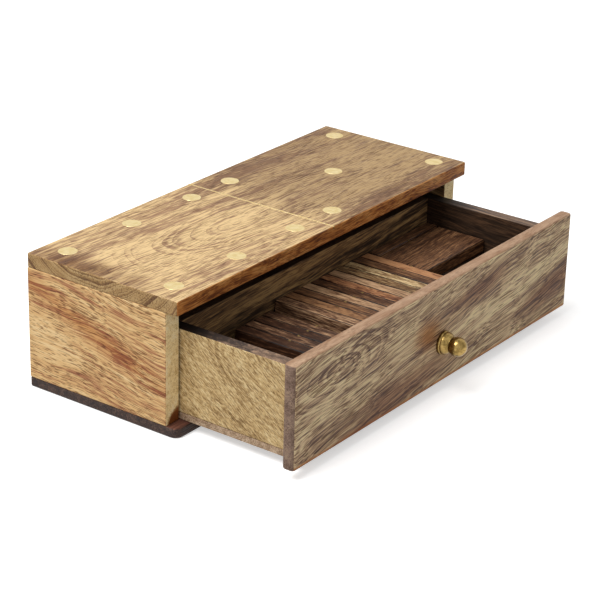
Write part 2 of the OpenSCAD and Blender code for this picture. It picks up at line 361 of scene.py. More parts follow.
def ring_marks(tree, place, rings, drift, wander, rough):
    """Growth rings, from pale wood to a thin dark line at the end of each."""
    # The drift is a half on average, so the heart is moved by what the whole grain is moved by
    shifted = vector_maths(tree, "MULTIPLY_ADD", drift, (2 * wander,) * 3, place)
    heart = Vector(rings.at) + Vector((wander,) * 3)
    along, across, through = turned_ways(*FACES[rings.face], rings.lean)
    radius = far_from(tree, shifted, heart, (across, through + rings.slope * along))
    year = maths(tree, "MULTIPLY", radius, 1 / rings.spacing)
    # Some years are wider than others
    uneven = add_node(tree, "ShaderNodeTexNoise", {"W": year, "Scale": 0.7, "Detail": 2.0},
                      noise_dimensions="1D").outputs["Fac"]
    year = maths(tree, "MULTIPLY_ADD", uneven, YEAR_DRIFT, year)
    season = maths(tree, "FRACT", year)
    dip = maths(tree, "POWER", season, YEAR_BEND)
    marks = maths(tree, "MULTIPLY_ADD", dip, YEAR_END - YEAR_START, YEAR_START)
    if rings.seen:
        # Away from the heart the rings run straight along the board and turn into plain streaks
        mask = patch_mask(tree, place, rings.seen, rough)
        marks = add_node(tree, "ShaderNodeMix", {0: mask, 2: 0.5, 3: marks}).outputs[0]
    return marks


def open_pores(tree, lie, long, wide, depth):
    """Open pores: short dark dashes that run with the grain, thicker in some places than in others."""
    dash = fibres(tree, lie, long, wide, detail=0.5)
    crowd = fibres(tree, lie, *PORE_CROWD, detail=1.0)
    both = maths(tree, "MULTIPLY_ADD", crowd, PORE_CROWDING, dash)
    return between(tree, both, PORE_LEVELS, (0.0, depth))


def wood(name, grain, streak, fine=(18, 0.8), pores=(6.0, 0.42, 0.6), wander=3.5,
         strength=(1.5, 1.3, 1.1, 0.3), rings=None, patches=(), rough=(0.5, 0.68)):
    """Oiled hardwood with streaks, fibres, growth rings and pores that follow the attribute grain.

    Streak, fine and pores are lengths and widths of marks in millimetres, and pores end with their depth.
    Wander is how far the grain strays. Strength is how much the streaks, the fibres, the hairs and the
    blotches show, and rough is the roughness from the darkest fibres to the palest.
    """
    if name in bpy.data.materials:
        return bpy.data.materials[name]
    tones = bpy.context.scene.domino_box_tones
    material, tree = new_material(name)
    lie = add_node(tree, "ShaderNodeAttribute", attribute_name="grain").outputs["Vector"]
    value = add_node(tree, "ShaderNodeAttribute", attribute_name="own_tone").outputs["Fac"]
    # The eased edges carry painted shade, read from the rim attribute
    rim_shade = add_node(tree, "ShaderNodeAttribute", attribute_name="rim_painted_shade").outputs["Fac"]
    place = place_in_box(tree)

    # The whole grain wanders slowly to and fro along the board
    drift = fibres(tree, lie, *DRIFT, output="Color")
    lie = vector_maths(tree, "MULTIPLY_ADD", drift, (0.0, 2 * wander, 2 * wander), lie)
    broad = fibres(tree, lie, *streak, detail=3.0, wander=0.3)
    thin = fibres(tree, lie, *fine, detail=2.5)
    hair = fibres(tree, lie, fine[0] * HAIR[0], fine[1] * HAIR[1], detail=1.0)
    blotch = fibres(tree, lie, *BLOTCH)
    shares = list(zip((broad, thin, hair, blotch), strength))
    if rings:
        shares.append((ring_marks(tree, place, rings, drift, wander, broad), rings.strength))
    for marks, amount in shares:
        value = maths(tree, "MULTIPLY_ADD", marks, amount, value)
    centre = 0.5 - sum(amount for _, amount in shares) / 2
    value = maths(tree, "ADD", value, centre)

    masks = [(patch, patch_mask(tree, place, patch, broad)) for patch in patches]
    for patch, mask in masks:
        value = maths(tree, "MULTIPLY_ADD", mask, patch.shift, value)
    ramp = add_node(tree, "ShaderNodeValToRGB", {0: value})
    dark, middle, pale = (opaque(getattr(tones, f"{grain}_{shade}")) for shade, _ in SHADES)
    stops = ramp.color_ramp.elements
    stops[0].position, stops[0].color = GRAIN_ENDS[0], dark
    stops[1].position, stops[1].color = GRAIN_ENDS[1], pale
    stops.new(0.5).color = middle

    pore = open_pores(tree, lie, *pores)
    tints = [(mask, patch.tint) for patch, mask in masks if patch.tint] + [(pore, "pore"), (rim_shade, "rim_painted_shade")]
    colour = ramp.outputs["Color"]
    for mask, tint in tints:
        colour = add_node(tree, "ShaderNodeMix", {0: mask, 6: colour, 7: opaque(getattr(tones, tint))},
                          data_type="RGBA", blend_type="MULTIPLY").outputs[2]
    shine = between(tree, thin, FIBRE_LEVELS, rough, ease="LINEAR")
    height = maths(tree, "MULTIPLY_ADD", pore, -PORE_DROP, hair)
    bump = add_node(tree, "ShaderNodeBump", {**WOOD_RELIEF, "Height": height}).outputs[0]
    shader = add_node(tree, "ShaderNodeBsdfPrincipled",
                      {"Base Color": colour, "Roughness": shine, "IOR": 1.45, "Specular IOR Level": 0.25,
                       "Normal": bump})
    add_node(tree, "ShaderNodeOutputMaterial", {0: shader.outputs[0]})
    return material


def brass(name, bright, worn, rough, scratch, amount, dents):
    """Brass, brighter where it is rubbed and darker in its scratches and tarnished places.

    Scratch is the length and width of its scratches and dents the size of its dull places, in millimetres.
    """
    if name in bpy.data.materials:
        return bpy.data.materials[name]
    tones = bpy.context.scene.domino_box_tones
    material, tree = new_material(name)
    place = place_in_box(tree)
    cloud = fibres(tree, place, dents, dents, detail=3.0)
    lines = fibres(tree, place, *scratch)
    both = maths(tree, "MULTIPLY_ADD", lines, SCRATCH_SHARE, cloud)
    mask = between(tree, both, TARNISH_LEVELS, (0.0, amount))
    colours = {6: opaque(getattr(tones, bright)), 7: opaque(getattr(tones, worn))}
    colour = add_node(tree, "ShaderNodeMix", {0: mask, **colours}, data_type="RGBA").outputs[2]
    shine = between(tree, both, DULL_LEVELS, rough, ease="LINEAR")
    bump = add_node(tree, "ShaderNodeBump", {**BRASS_RELIEF, "Height": lines}).outputs[0]
    shader = add_node(tree, "ShaderNodeBsdfPrincipled",
                      {"Base Color": colour, "Metallic": 1.0, "Roughness": shine, "Normal": bump})
    add_node(tree, "ShaderNodeOutputMaterial", {0: shader.outputs[0]})
    return material


def pip_brass():
    """Sheet brass of the lid's pips, sanded flush with the wood: pale, matt yellow with faint scratches."""
    return brass("sanded_sheet_brass", "inlay_brass", "inlay_worn", rough=(0.34, 0.5), scratch=(9.0, 0.35),
                 amount=0.5, dents=2.5)


def aged_brass():
    """Brass of the dominoes' pips and lines, never polished: dull and brown in places."""
    return brass("aged_sheet_brass", "aged_brass", "aged_dark", rough=(0.45, 0.6), scratch=(4.0, 0.3),
                 amount=1.0, dents=2.0)


def steel():
    """Plain mild steel, turned, with its thread hidden in the wood: grey and dull."""
    base = bpy.context.scene.domino_box_tones.screw_steel
    material, tree = new_material("turned_mild_steel")
    place = add_node(tree, "ShaderNodeTexCoord").outputs["Object"]
    marks = add_node(tree, "ShaderNodeTexNoise",
                     {"Vector": place, "Scale": 3 / MM, "Detail": 2.0}).outputs["Fac"]
    shine = between(tree, marks, (0.0, 1.0), (0.3, 0.55), ease="LINEAR")
    colours = {6: opaque(base), 7: opaque([c * 0.7 for c in base])}
    colour = add_node(tree, "ShaderNodeMix", {0: marks, **colours}, data_type="RGBA").outputs[2]
    shader = add_node(tree, "ShaderNodeBsdfPrincipled",
                      {"Base Color": colour, "Metallic": 1.0, "Roughness": shine})
    add_node(tree, "ShaderNodeOutputMaterial", {0: shader.outputs[0]})
    return material


def eased_block(low, high, corner, rim, axis=2, turns=4, steps=3):
    """A block between two corners: rounded along its edges that follow one axis, and eased at its two ends.

    The radius of these edges is one number, or four of them, from the far corner on in the turning sense.
    Turns and steps are the straight bits that make a corner and an eased end round.
    """
    u, v, w = [(1, 2, 0), (2, 0, 1), (0, 1, 2)][axis]
    radii = corner if isinstance(corner, tuple) else (corner,) * 4
    mesh = bmesh.new()
    bends = [math.pi / 2 * k / steps for k in range(steps + 1)]
    levels = [(low[w] + rim * (1 - math.cos(a)), rim * (1 - math.sin(a))) for a in bends]
    levels += [(low[w] + high[w] - level, inset) for level, inset in reversed(levels)]
    rings = []
    for level, inset in levels:
        ring = []
        for quarter, (su, sv) in enumerate([(1, 1), (-1, 1), (-1, -1), (1, -1)]):
            # Where the easing is as wide as the corner, the corner shrinks to one point
            radius = max(radii[quarter] - inset, SAME_POINT / 2)
            cu = (high[u] - radii[quarter]) if su > 0 else (low[u] + radii[quarter])
            cv = (high[v] - radii[quarter]) if sv > 0 else (low[v] + radii[quarter])
            for k in range(turns + 1):
                a = math.pi / 2 * (quarter + k / turns)
                point = [0.0, 0.0, 0.0]
                point[u] = cu + radius * math.cos(a)
                point[v] = cv + radius * math.sin(a)
                point[w] = level
                ring.append(mesh.verts.new(point))
        rings.append(ring)
    around = len(rings[0])
    for lower, upper in zip(rings, rings[1:]):
        for k in range(around):
            after = (k + 1) % around
            mesh.faces.new((lower[k], lower[after], upper[after], upper[k]))
    mesh.faces.new(rings[-1])
    mesh.faces.new(rings[0][::-1])
    bmesh.ops.remove_doubles(mesh, verts=mesh.verts, dist=SAME_POINT)
    bmesh.ops.recalc_face_normals(mesh, faces=mesh.faces)
    return mesh


def brass_strips(lumps, rim):
    """Thin strips of sheet brass in the places of the given lumps, as one mesh."""
    whole = bmesh.new()
    for low, high in lumps:
        strip = eased_block(low, high, rim, rim, turns=1, steps=1)
        data = bpy.data.meshes.new("strip")
        strip.to_mesh(data)
        strip.free()
        whole.from_mesh(data)
        bpy.data.meshes.remove(data)
    return whole


def side_of(normal):
    """Which side of a block a face with this normal belongs to."""
    axis = max(range(3), key=lambda i: abs(normal[i]))
    return SIDES[axis, 1 if normal[axis] > 0 else -1]


def take_over(piece, body, node):
    """Puts a finished piece in the place of its CAD node, on a body."""
    bpy.context.scene.collection.objects.link(piece)
    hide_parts(node)
    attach(piece, body)
    return piece


def make_piece(name, mesh, finishes, body, node):
    """Turns a mesh into a finished piece. Finishes holds a material for some sides, and one called all."""
    for face in mesh.faces:
        face.smooth = max(abs(part) for part in face.normal) < FLAT
    data = bpy.data.meshes.new(name)
    mesh.to_mesh(data)
    mesh.free()
    order = list(dict.fromkeys(finishes.values()))
    for material in order:
        data.materials.append(material)
    for face in data.polygons:
        face.material_index = order.index(finishes.get(side_of(face.normal), finishes["all"]))
    return take_over(bpy.data.objects.new(name, data), body, node)


def lay_grain(piece, along, across, lean, cut=(0, 0, 0), own_tone=0.0, rim_painted_shade=0.0):
    """Tells each point of a piece its place in the wood: millimetres along, across and through the grain.

    Own tone makes the whole piece paler or darker, and the last value darkens its eased edges: painted shade
    of the gaps between neighbouring pieces.
    """
    data = piece.data
    points = np.empty(len(data.vertices) * 3, np.float32)
    data.vertices.foreach_get("co", points)
    grain = points.reshape(-1, 3) @ np.array(turned_ways(along, across, lean)).T / MM + np.array(cut)
    lie = data.attributes.new("grain", "FLOAT_VECTOR", "POINT")
    lie.data.foreach_set("vector", grain.astype(np.float32).ravel())
    normals = np.empty(len(data.polygons) * 3, np.float32)
    data.polygons.foreach_get("normal", normals)
    eased = np.abs(normals.reshape(-1, 3)).max(axis=1) < SLANTED
    for name, values in (("own_tone", np.full(len(eased), own_tone)), ("rim_painted_shade", rim_painted_shade * eased)):
        data.attributes.new(name, "FLOAT", "FACE").data.foreach_set("value", values.astype(np.float32))


def board(node, finishes, body, face, lean, rim, axis=2):
    """A plain board in place of a CAD node, with its edges sanded round and its grain along a face."""
    low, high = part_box(node)
    piece = make_piece(node + "_wood", eased_block(low, high, rim, rim, axis), finishes, body, node)
    lay_grain(piece, *FACES[face], lean=lean, cut=CUTS[node])


def islands(node):
    """The separate lumps of a CAD node, each as its lowest and highest corner."""
    mesh = bmesh.new()
    mesh.from_mesh(frame["nodes"][node].data)
    bmesh.ops.remove_doubles(mesh, verts=mesh.verts, dist=SAME_POINT / 2)
    left, lumps = set(mesh.verts), []
    while left:
        todo = [left.pop()]
        points = []
        while todo:
            vert = todo.pop()
            points.append(vert.co.copy())
            for edge in vert.link_edges:
                other = edge.other_vert(vert)
                if other in left:
                    left.remove(other)
                    todo.append(other)
        lumps.append(tuple(Vector([pick(p[i] for p in points) for i in range(3)]) for pick in (min, max)))
    mesh.free()
    return sorted(lumps, key=lambda lump: tuple(round(c, 5) for c in lump[0]))


def domino_nodes():
    """The names of the CAD nodes that are dominoes, in order."""
    inlay = ("domino_pips", "domino_lines")
    return sorted(name for name in frame["nodes"] if name.startswith("domino_") and name not in inlay)


def disc_tree():
    """Geometry Nodes that set a brass disc on every point, facing along the point's attribute facing."""
    tree = bpy.data.node_groups.new("inlaid_discs", "GeometryNodeTree")
    face = tree.interface
    face.new_socket("Centres", in_out="INPUT", socket_type="NodeSocketGeometry")
    for name, default in (("Disc Diameter", 8 * MM), ("Disc Thickness", 1.5 * MM), ("Rim Width", 0.12 * MM)):
        socket = face.new_socket(name, in_out="INPUT", socket_type="NodeSocketFloat")
        socket.default_value, socket.subtype, socket.min_value = default, "DISTANCE", 0.0
    for name, default in (("Sides", 32), ("Seed", 5)):
        socket = face.new_socket(name, in_out="INPUT", socket_type="NodeSocketInt")
        socket.default_value = default
    face.new_socket("Metal", in_out="INPUT", socket_type="NodeSocketMaterial")
    face.new_socket("Discs", in_out="OUTPUT", socket_type="NodeSocketGeometry")
    given = add_node(tree, "NodeGroupInput").outputs
    names = ("Sides", "Disc Diameter", "Disc Thickness", "Rim Width")
    sides, wide, thick, rim_width = (given[name] for name in names)
    radius = maths(tree, "MULTIPLY", wide, 0.5)
    top = maths(tree, "SUBTRACT", radius, rim_width)
    flat = maths(tree, "SUBTRACT", thick, rim_width)
    # The barrel has no upper end and the rim no lower one, so the two close into one disc
    barrel, rim = (add_node(tree, "GeometryNodeMeshCone",
                            {"Vertices": sides, "Radius Top": upper, "Radius Bottom": radius, "Depth": deep},
                            fill_type="NONE") for upper, deep in ((radius, flat), (top, rim_width)))
    cap = add_node(tree, "GeometryNodeMeshCircle", {"Vertices": sides, "Radius": top}, fill_type="NGON")
    foot = add_node(tree, "GeometryNodeMeshCircle", {"Vertices": sides, "Radius": radius}, fill_type="NGON")
    down = maths(tree, "MULTIPLY", thick, -1.0)
    rim_low = maths(tree, "MULTIPLY", rim_width, -1.0)
    parts = []
    for part, level in ((barrel, down), (rim, rim_low), (cap, 0.0), (foot, down)):
        lift = add_node(tree, "ShaderNodeCombineXYZ", {2: level}).outputs[0]
        moved = add_node(tree, "GeometryNodeTransform", {0: part.outputs["Mesh"], "Translation": lift})
        parts.append(moved.outputs[0])
    # The foot is the one part that faces down
    parts[3] = add_node(tree, "GeometryNodeFlipFaces", {0: parts[3]}).outputs[0]
    whole = add_node(tree, "GeometryNodeJoinGeometry")
    for part in parts:
        tree.links.new(part, whole.inputs[0])
    disc = add_node(tree, "GeometryNodeMergeByDistance", {0: whole.outputs[0], "Distance": 0.01 * MM})
    way = add_node(tree, "GeometryNodeInputNamedAttribute", {0: "facing"}, data_type="FLOAT_VECTOR")
    aim = add_node(tree, "FunctionNodeAlignRotationToVector", {"Vector": way.outputs[0]}, axis="Z").outputs[0]
    # Each disc is turned by chance, so that its straight sides don't line up with its neighbours'
    chance = add_node(tree, "FunctionNodeRandomValue", {2: 0.0, 3: math.tau, "Seed": given["Seed"]},
                      data_type="FLOAT").outputs[1]
    about = add_node(tree, "ShaderNodeCombineXYZ", {2: chance}).outputs[0]
    turn = add_node(tree, "FunctionNodeRotateRotation", {0: aim, 1: about}, rotation_space="LOCAL").outputs[0]
    placed = add_node(tree, "GeometryNodeInstanceOnPoints",
                      {0: given["Centres"], "Instance": disc.outputs[0], "Rotation": turn})
    real = add_node(tree, "GeometryNodeRealizeInstances", {0: placed.outputs[0]}).outputs[0]
    dressed = add_node(tree, "GeometryNodeSetMaterial", {0: real, "Material": given["Metal"]}).outputs[0]
    add_node(tree, "NodeGroupOutput", {0: dressed})
    return tree


def make_discs(name, centres, facings, inputs, body, node):
    """Brass discs at the given centres, made by the disc nodes and turned into one plain mesh."""
    tree = bpy.data.node_groups.get("inlaid_discs") or disc_tree()
    points = bpy.data.meshes.new(name + "_centres")
    points.from_pydata([tuple(c) for c in centres], [], [])
    facing = points.attributes.new("facing", "FLOAT_VECTOR", "POINT")
    facing.data.foreach_set("vector", np.array(facings, np.float32).ravel())
    maker = bpy.data.objects.new(name + "_maker", points)
    bpy.context.scene.collection.objects.link(maker)
    nodes = maker.modifiers.new("discs", "NODES")
    nodes.node_group = tree
    sockets = {item.name: item.identifier for item in tree.interface.items_tree if item.in_out == "INPUT"}
    for key, value in inputs.items():
        nodes[sockets[key]] = value
    bpy.context.view_layer.update()
    made = maker.evaluated_get(bpy.context.evaluated_depsgraph_get())
    data = bpy.data.meshes.new_from_object(made)
    if not data.polygons:
        raise RuntimeError(f"{name}: the disc nodes made nothing")
    data.name = name
    piece = bpy.data.objects.new(name, data)
    bpy.data.objects.remove(maker)
    return take_over(piece, body, node)


class DOMINOBOX_OT_lid(bpy.types.Operator):
    """Make the lid board, with its face, long edges and end grain"""

    bl_idname = "domino_box.lid"
    bl_label = "Lid Board"

    def execute(self, context):
        sizes = context.scene.domino_box_sizes
        low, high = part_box("lid_board")
        high = Vector((high.x, high.y, high.z - sizes.inlay_rise))
        # Oiled mango wood, planed and sanded: golden tan with grey-brown streaks and a few arches
        arches = Rings("top", (-22, -4.6, 57.5), lean=-3.0, slope=0.37, spacing=2.6, strength=0.45,
                       seen=Patch("top", (-46, -4, 57.5), (46, 24), lean=-3.0, soft=0.7))
        figure = [
            Patch("top", (58, 0, 54), (56, 90), tint="lid_shade", shift=-0.08, soft=0.3),
            Patch("top", (-97, 12, 54), (8, 24), tint="lid_corner_shade", shift=-0.2, ragged=2.0, soft=0.9),
            Patch("top", (-50, -29, 54), (60, 8), shift=-0.2, soft=0.9),
            Patch("top", (-52, 29, 54), (60, 8), shift=-0.2, soft=0.9),
            Patch("top", (-34, -5, 54), (36, 12), lean=-3, shift=0.1, soft=0.9),
            Patch("top", (-28, 15, 54), (36, 4), lean=-3, shift=-0.2),
            Patch("top", (-84, -2, 54), (16, 3), lean=-8, shift=-0.25),
            Patch("top", (28, 10, 54), (34, 4), lean=-4, shift=-0.2),
            Patch("top", (48, -34, 54), (50, 4), shift=-0.35, soft=0.8),
            Patch("top", (36, 31, 54), (46, 6), shift=-0.3, soft=0.8),
            Patch("top", (88, -11, 54), (26, 6), lean=-8, shift=0.35),
            Patch("top", (42, -18, 54), (26, 4), lean=-4, shift=0.3),
        ]
        face = wood("oiled_mango_lid_face", "lid", streak=(90, 4.5), fine=(26, 1.3), pores=(5.0, 0.38, 0.6),
                    strength=(0.85, 0.9, 1.7, 0.1), rings=arches, patches=figure)
        # The same wood along its long edges, stained orange-brown
        edge = wood("stained_mango_lid_edge", "lid_edge", streak=(40, 2.4), fine=(12, 0.9),
                    strength=(1.5, 1.3, 1.1, 1.0))
        # End grain: olive brown, with the arcs of the growth rings
        arcs = Rings("side", (-100, 6, 84), lean=0.0, slope=1.0, spacing=1.9, strength=0.5)
        end = wood("mango_end_grain", "lid_end", streak=(60, 9), strength=(0.6, 0.4, 0.4, 0.3), rings=arcs)
        lid = make_piece("lid_wood", eased_block(low, high, sizes.lid_corner, sizes.board_rim, turns=6),
                         {"all": face, "front": edge, "back": edge, "left": end, "right": end},
                         "case", "lid_board")
        lay_grain(lid, *FACES["top"], lean=-4.0)
        return {"FINISHED"}


class DOMINOBOX_OT_lid_inlay(bpy.types.Operator):
    """Make the lid's brass pips and its brass line"""

    bl_idname = "domino_box.lid_inlay"
    bl_label = "Lid Inlay"

    def execute(self, context):
        sizes = context.scene.domino_box_sizes
        lumps = islands("lid_pips")
        low, high = lumps[0]
        centres = [((a.x + b.x) / 2, (a.y + b.y) / 2, b.z) for a, b in lumps]
        inputs = {"Disc Diameter": high.x - low.x, "Disc Thickness": high.z - low.z, "Metal": pip_brass(),
                  "Rim Width": sizes.inlay_rim, "Sides": sizes.lid_pip_sides}
        make_discs("lid_pip_discs", centres, [(0, 0, 1)] * len(centres), inputs, "case", "lid_pips")
        # A thin strip of the same brass, a little browner because dirt has settled along it
        metal = brass("thin_brass_strip", "line_brass", "inlay_worn", rough=(0.4, 0.55), scratch=(6.0, 0.35),
                      amount=0.8, dents=2.5)
        strip = brass_strips([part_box("lid_line")], sizes.line_rim)
        make_piece("lid_line_strip", strip, {"all": metal}, "case", "lid_line")
        return {"FINISHED"}


class DOMINOBOX_OT_panels(bpy.types.Operator):
    """Make the two side panels and the back panel"""

    bl_idname = "domino_box.panels"
    bl_label = "Side and Back Panels"

    def execute(self, context):
        sizes = context.scene.domino_box_sizes
        # Oiled mango wood: warm tan with brown dashes and reddish bands that slope down to the front
        arches = Rings("side", (-100, -20, 22), lean=-18.0, slope=0.4, spacing=2.4, strength=0.15,
                       seen=Patch("side", (-100, -20, 22), (26, 14), lean=-18.0, soft=0.7))
        bands = [
            Patch("side", (-100, 4, 33), (40, 3.5), deep=300, lean=-20, tint="panel_band", shift=-0.2,
                  ragged=2.6, soft=1.0),
            Patch("side", (-100, -14, 44), (24, 2.2), deep=300, lean=-14, shift=-0.2, ragged=2.6, soft=1.0),
            Patch("side", (-100, 2, 12), (26, 3), deep=300, lean=-22, shift=-0.2, ragged=2.6, soft=1.0),
            Patch("side", (-100, 27, 24), (18, 5), deep=300, lean=-20, shift=0.3),
        ]
        side = wood("oiled_mango_side_panel", "panel", streak=(40, 1.9), fine=(20, 0.55),
                    pores=(4.0, 0.36, 0.75), wander=5.0, strength=(1.5, 1.2, 0.8, 0.3), rings=arches,
                    patches=bands)
        # Its front ends are left pale, with a stained foot on the left one
        stain = [Patch("front", (-92, -32, 3), (7, 7), deep=300, tint="foot_stain", shift=-0.4, ragged=0.2,
                       soft=0.15)]
        end = wood("pale_mango_panel_end", "panel_end", streak=(40, 3), pores=(7.0, 0.5, 0.2), patches=stain)
        inside = inside_wood()
        for node, inner in (("left_panel", "right"), ("right_panel", "left")):
            board(node, {"all": side, "front": end, inner: inside}, "case", "side", -7.0,
                  sizes.board_rim, axis=0)
        board("back_panel", {"all": side, "front": inside}, "case", "front", 2.0,
              sizes.board_rim, axis=1)
        return {"FINISHED"}


class DOMINOBOX_OT_base(bpy.types.Operator):
    """Make the base board"""

    bl_idname = "domino_box.base"
    bl_label = "Base Board"

    def execute(self, context):
        sizes = context.scene.domino_box_sizes
        # Dark-stained hardwood: purple brown and nearly black along its edges
        edge = wood("dark_stained_base_edge", "base", streak=(60, 3))
        # Its upper face is redder
        lip = wood("dark_stained_base_face", "base_lip", streak=(60, 3))
        low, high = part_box("base_board")
        corners = (sizes.lid_corner,) * 2 + (sizes.base_corner,) * 2
        base = make_piece("base_wood", eased_block(low, high, corners, sizes.board_rim, turns=8),
                          {"all": edge, "top": lip}, "case", "base_board")
        lay_grain(base, *FACES["top"], lean=-2.0, cut=CUTS["base_board"])
        return {"FINISHED"}


def inside_wood():
    """Unfinished sheesham wood inside the drawer and the case: dark olive brown with darker streaks."""
    return wood("sheesham_inside", "inside", streak=(60, 3.0), fine=(20, 1.0), strength=(2.0, 1.3, 0.8, 0.3))


class DOMINOBOX_OT_drawer_walls(bpy.types.Operator):
    """Make the drawer's walls and its bottom board"""

    bl_idname = "domino_box.drawer_walls"
    bl_label = "Drawer Walls"

    def execute(self, context):
        # Thinner boards are eased less
        board_rim = context.scene.domino_box_sizes.board_rim
        side_rim, thin_rim = 0.6 * board_rim, 0.4 * board_rim
        inside = inside_wood()
        # Pale mango wood, sawn and sanded: yellow tan with short fine flecks that run down to the front
        arcs = Rings("side", (-91.5, -75, 34), lean=-30.0, slope=0.6, spacing=2.8, strength=0.2)
        outer = wood("pale_mango_drawer_wall", "wall", streak=(24, 5), fine=(3.0, 0.5), pores=(2.4, 0.4, 0.5),
                     strength=(0.6, 1.7, 1.3, 0.3), rings=arcs)
        # The side walls' upper edges are dark sheesham, with painted shade that darkens them near the case,
        # under the lid's edge
        shade = [Patch("top", (-88, -30, 42), (300, 26), shift=-0.5, ragged=0.4),
                 Patch("top", (-88, -30, 42), (300, 17), tint="wall_top_shade", ragged=0.4, soft=0.6)]
        top = wood("sheesham_wall_top", "wall_top", streak=(60, 2.4), pores=(6.0, 0.42, 0.3),
                   strength=(1.5, 1.0, 0.5, 0.3), patches=shade)
        # The right wall's inner face gets a near-black copy of the inside wood: painted shade
        shaded = wood("dark_sheesham_wall", "shaded", streak=(60, 3.0))
        for node, inner, lining, lean in (("drawer_left", "right", inside, -34.0),
                                          ("drawer_right", "left", shaded, -4.0)):
            board(node, {"all": outer, "top": top, inner: lining}, "drawer", "side", lean,
                  side_rim, axis=0)
        # The back wall's inner face gets painted light along its top, where the lid's shadow falls, and is
        # darker over its right part; its upper edge gets the same painted shade as the right wall
        light = [Patch("front", (0, -29, 42), (300, 11), shift=0.25, ragged=0.8, soft=0.7),
                 Patch("front", (40, -29, 42), (60, 50), shift=-0.3, soft=0.8)]
        rear = wood("sheesham_back_wall", "inside", streak=(60, 3.0), fine=(20, 1.0),
                    strength=(2.3, 1.8, 1.2, 0.3), patches=light)
        board("drawer_back", {"all": inside, "front": rear, "top": shaded}, "drawer",
              "front", 4.0, thin_rim, axis=1)
        # The bottom board shows a pinkish grey edge along the foot of the walls
        edge = wood("pale_hardwood_bottom_edge", "bottom", streak=(50, 3))
        board("drawer_bottom", {"all": edge, "top": inside}, "drawer", "top", 0.0,
              thin_rim)
        return {"FINISHED"}


class DOMINOBOX_OT_drawer_front(bpy.types.Operator):
    """Make the drawer's front board"""

    bl_idname = "domino_box.drawer_front"
    bl_label = "Drawer Front"

    def execute(self, context):
        sizes = context.scene.domino_box_sizes
        low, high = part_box("drawer_front")
        # Oiled sheesham wood: grey brown with tan grain that climbs to the right, and dark bands
        arches = Rings("front", (-71, -93, 36), lean=8.0, slope=0.35, spacing=1.9, strength=0.5,
                       seen=Patch("front", (-71, -93, 36), (26, 12), lean=8.0, soft=0.8))
        foot = low.z / MM
        bands = (((-40, -93, 10), (46, 6.5), -0.2), ((86, -93, 17), (26, 7), -0.15),
                 ((26, -93, 36), (24, 4), -0.1))
        figure = [Patch("front", at, reach, lean=8, tint="front_shade", shift=shift, ragged=1.8, soft=0.8)
                  for at, reach, shift in bands]
        figure += [
            Patch("front", (42, -93, 24.5), (62, 5), lean=8.5, shift=0.4),
            Patch("front", (-78, -93, 27), (22, 9), lean=8, shift=0.15),
            Patch("front", (-11, -93, 28.5), (8, 6), tint="knob_stain", shift=-0.1, soft=0.8),
            Patch("front", (0, -93, foot), (300, 1.7), tint="foot_wear", shift=0.5, ragged=0.6, soft=0.25),
        ]
        face = wood("oiled_sheesham_front", "front", streak=(70, 3.4), fine=(36, 0.65),
                    pores=(9.0, 0.42, 0.8), wander=4.5, strength=(1.1, 2.0, 1.6, 0.1), rings=arches,
                    patches=figure)
        # Its upper and lower edges are sanded raw: pinkish tan
        top = wood("raw_sheesham_front_top", "front_top", streak=(60, 2.5), pores=(6.0, 0.42, 0.3),
                   strength=(1.3, 0.6, 0.5, 0.3))
        # Its ends show dark grey-brown end grain
        end = wood("sheesham_front_end", "front_end", streak=(30, 4))
        finishes = {"all": face, "top": top, "under": top, "left": end, "right": end, "back": inside_wood()}
        mesh = eased_block(low, high, sizes.front_corner, sizes.front_rim, turns=5)
        front = make_piece("drawer_front_wood", mesh, finishes, "drawer", "drawer_front")
        lay_grain(front, *FACES["front"], lean=8.0, cut=CUTS["drawer_front"])
        return {"FINISHED"}


class DOMINOBOX_OT_knob(bpy.types.Operator):
    """Make the turned brass knob and finish its screw"""

    bl_idname = "domino_box.knob"
    bl_label = "Knob and Screw"

    def execute(self, context):
        sizes = context.scene.domino_box_sizes
        low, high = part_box("knob")
        centre = (low + high) / 2
        foot, reach, ball = (high.x - low.x) / 2, high.y - low.y, sizes.knob_ball
        # The turned outline, from the wood to the tip, as radius and height: a plate with a round rim
        plate, rim = 0.9 * MM, 0.25 * MM
        outline = [(0.0, 0.0), (foot, 0.0)]
        outline += [(foot - rim * (1 - math.cos(a)), plate + rim * math.sin(a))
                    for a in (0.0, 0.5, 1.0, math.pi / 2)]
        # Then a bell that narrows to the neck, in millimetres, and the ball
        bell = [(4.75, 1.45), (4.6, 2.1), (4.3, 2.8), (3.9, 3.4), (3.5, 3.9), (3.2, 4.3)]
        outline += [(radius * MM, height * MM) for radius, height in bell]
        start = math.asin(outline[-1][0] / ball)
        outline += [(ball * math.sin(a), reach - ball - ball * math.cos(a))
                    for a in np.linspace(start, math.pi, 22)[:-1]]
        outline.append((0.0, reach))
        mesh = bmesh.new()
        angles = [math.tau * k / sizes.knob_turns for k in range(sizes.knob_turns)]
        rings = []
        for radius, height in outline:
            # A ring at the axis is one point
            places = [(radius * math.cos(a), radius * math.sin(a)) for a in (angles if radius else (0.0,))]
            rings.append([mesh.verts.new((centre.x + x, high.y - height, centre.z + z)) for x, z in places])
        for lower, upper in zip(rings, rings[1:]):
            for k in range(len(angles)):
                ends = [lower[k % len(lower)], lower[(k + 1) % len(lower)],
                        upper[(k + 1) % len(upper)], upper[k % len(upper)]]
                mesh.faces.new(list(dict.fromkeys(ends)))
        bmesh.ops.recalc_face_normals(mesh, faces=mesh.faces)
        # Turned and polished brass, tarnished in its hollow: deep yellow with soft highlights
        metal = brass("polished_turned_brass", "knob_brass", "knob_tarnish", rough=(0.16, 0.34),
                      scratch=(40.0, 0.5), amount=0.8, dents=2.2)
        knob = make_piece("knob_turned", mesh, {"all": metal}, "drawer", "knob")
        for face in knob.data.polygons:
            face.use_smooth = len(face.vertices) == 4 or face.center.y < centre.y
        screw = frame["nodes"]["knob_screw"]
        screw.data.materials.clear()
        screw.data.materials.append(steel())
        return {"FINISHED"}


